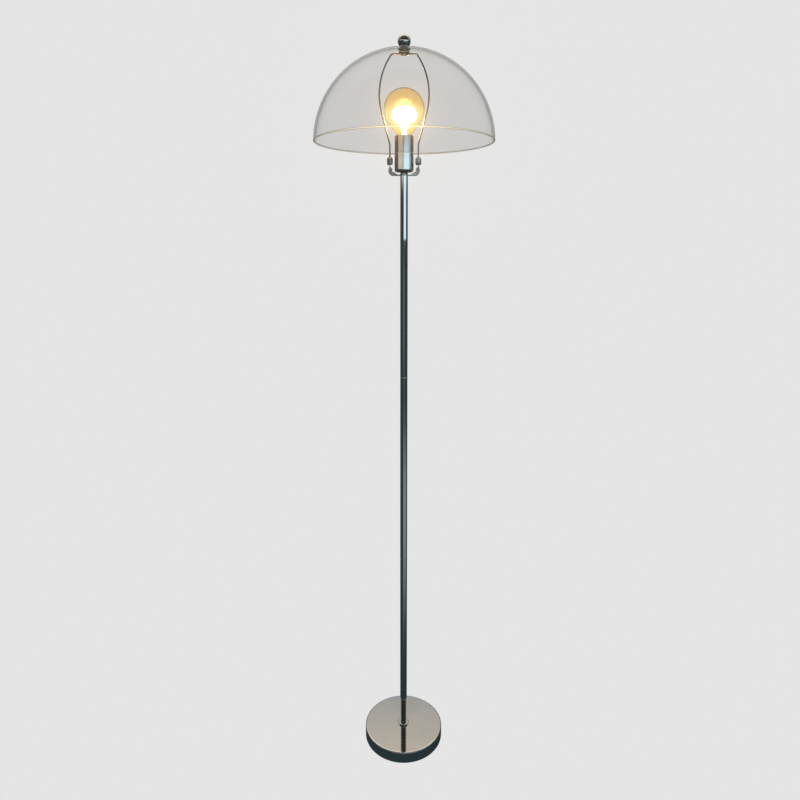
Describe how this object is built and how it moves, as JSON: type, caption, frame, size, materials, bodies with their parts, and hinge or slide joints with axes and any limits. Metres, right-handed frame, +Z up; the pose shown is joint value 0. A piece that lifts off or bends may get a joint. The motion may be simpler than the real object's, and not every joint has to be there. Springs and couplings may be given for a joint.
{
  "type": "floor lamp",
  "caption": "Slim chrome floor lamp: round weighted base, straight tube pole, clear dome shade on a wire harp over a globe bulb; bulb, shade, harp and finial lift off.",
  "frame": {"origin": "middle of the base's underside, on the floor", "axes": "+Z up the pole, +X to the right in the picture with the harp's wire in the XZ plane, +Y to the back, where the mains lead enters the base"},
  "size_m": [0.3537, 0.3538, 1.5138],
  "materials": {
    "chrome_plate": "bright chrome plate on steel, mirror polish",
    "socket_chrome": "bright chrome plate on drawn steel",
    "harp_steel": "bright nickel plate on steel wire and strip",
    "zinc_steel": "zinc-plated steel",
    "cast_iron": "rough cast iron, black primer",
    "foam_pad": "black cellular rubber",
    "black_nylon": "moulded black nylon",
    "lead_jacket": "soft translucent cable jacket",
    "core_jacket": "soft cable core",
    "fibre": "white fibre sleeve",
    "phenolic": "black moulded phenolic",
    "brass": "bright stamped brass",
    "nickel": "bright nickel-plated brass",
    "black_glass": "black fused glass",
    "solder": "bright solder",
    "clear_glass": "clear blown glass",
    "amber_glass": "amber-tinted clear blown glass",
    "filament": "phosphor-coated filament sticks",
    "support_wire": "fine drawn wire",
    "clear_acrylic": "clear moulded acrylic, slightly grey",
    "soft_washer": "translucent soft washer"
  },
  "bodies": {
    "stand": {"base_pad": "foam_pad", "base_shell": "chrome_plate", "base_weight": "cast_iron", "base_collar": "chrome_plate", "base_nipple": "zinc_steel", "base_flat_washer": "zinc_steel", "base_lock_washer": "zinc_steel", "base_nut": "zinc_steel", "cord_bush": "black_nylon", "pole_lower": "chrome_plate", "pole_middle": "chrome_plate", "pole_upper": "chrome_plate", "pole_inserts": "zinc_steel", "joint_nipple_lower": "zinc_steel", "joint_nipple_upper": "zinc_steel", "top_nipple": "zinc_steel", "inner_lead": "lead_jacket", "lead_cores": "core_jacket", "saddle": "harp_steel", "saddle_nut": "zinc_steel", "socket_cap_bushing": "brass", "socket_set_screw": "zinc_steel", "socket_cap": "socket_chrome", "socket_shell": "socket_chrome", "socket_liner": "fibre", "socket_body": "phenolic", "socket_screw_shell": "brass", "socket_centre_contact": "brass", "terminal_plates": "brass", "terminal_screws": "brass"},
    "bulb": {"bulb_globe": "amber_glass", "bulb_screw_cap": "nickel", "bulb_insulator": "black_glass", "bulb_tip_contact": "solder", "bulb_stem": "clear_glass", "bulb_filaments": "filament", "filament_supports": "support_wire"},
    "harp": {"harp_wire": "harp_steel", "harp_stud": "harp_steel", "shade_seat": "harp_steel"},
    "ferrule_left": {"ferrule_left": "harp_steel"},
    "ferrule_right": {"ferrule_right": "harp_steel"},
    "shade": {"shade": "clear_acrylic", "shade_washer_low": "soft_washer", "shade_washer_top": "soft_washer"},
    "finial": {"finial": "chrome_plate"}
  },
  "joints": [
    {"name": "bulb_lift", "type": "slide", "parent": "stand", "child": "bulb", "axis": [0, 0, 1], "range_m": [0, 0.028]},
    {"name": "harp_lift", "type": "slide", "parent": "stand", "child": "harp", "axis": [0, 0, 1], "range_m": [0, 0.008]},
    {"name": "ferrule_left_lift", "type": "slide", "parent": "harp", "child": "ferrule_left", "axis": [0, 0, 1], "range_m": [0, 0.014]},
    {"name": "ferrule_right_lift", "type": "slide", "parent": "harp", "child": "ferrule_right", "axis": [0, 0, 1], "range_m": [0, 0.014]},
    {"name": "shade_lift", "type": "slide", "parent": "harp", "child": "shade", "axis": [0, 0, 1], "range_m": [0, 0.2]},
    {"name": "finial_lift", "type": "slide", "parent": "shade", "child": "finial", "axis": [0, 0, 1], "range_m": [0, 0.015]}
  ]
}
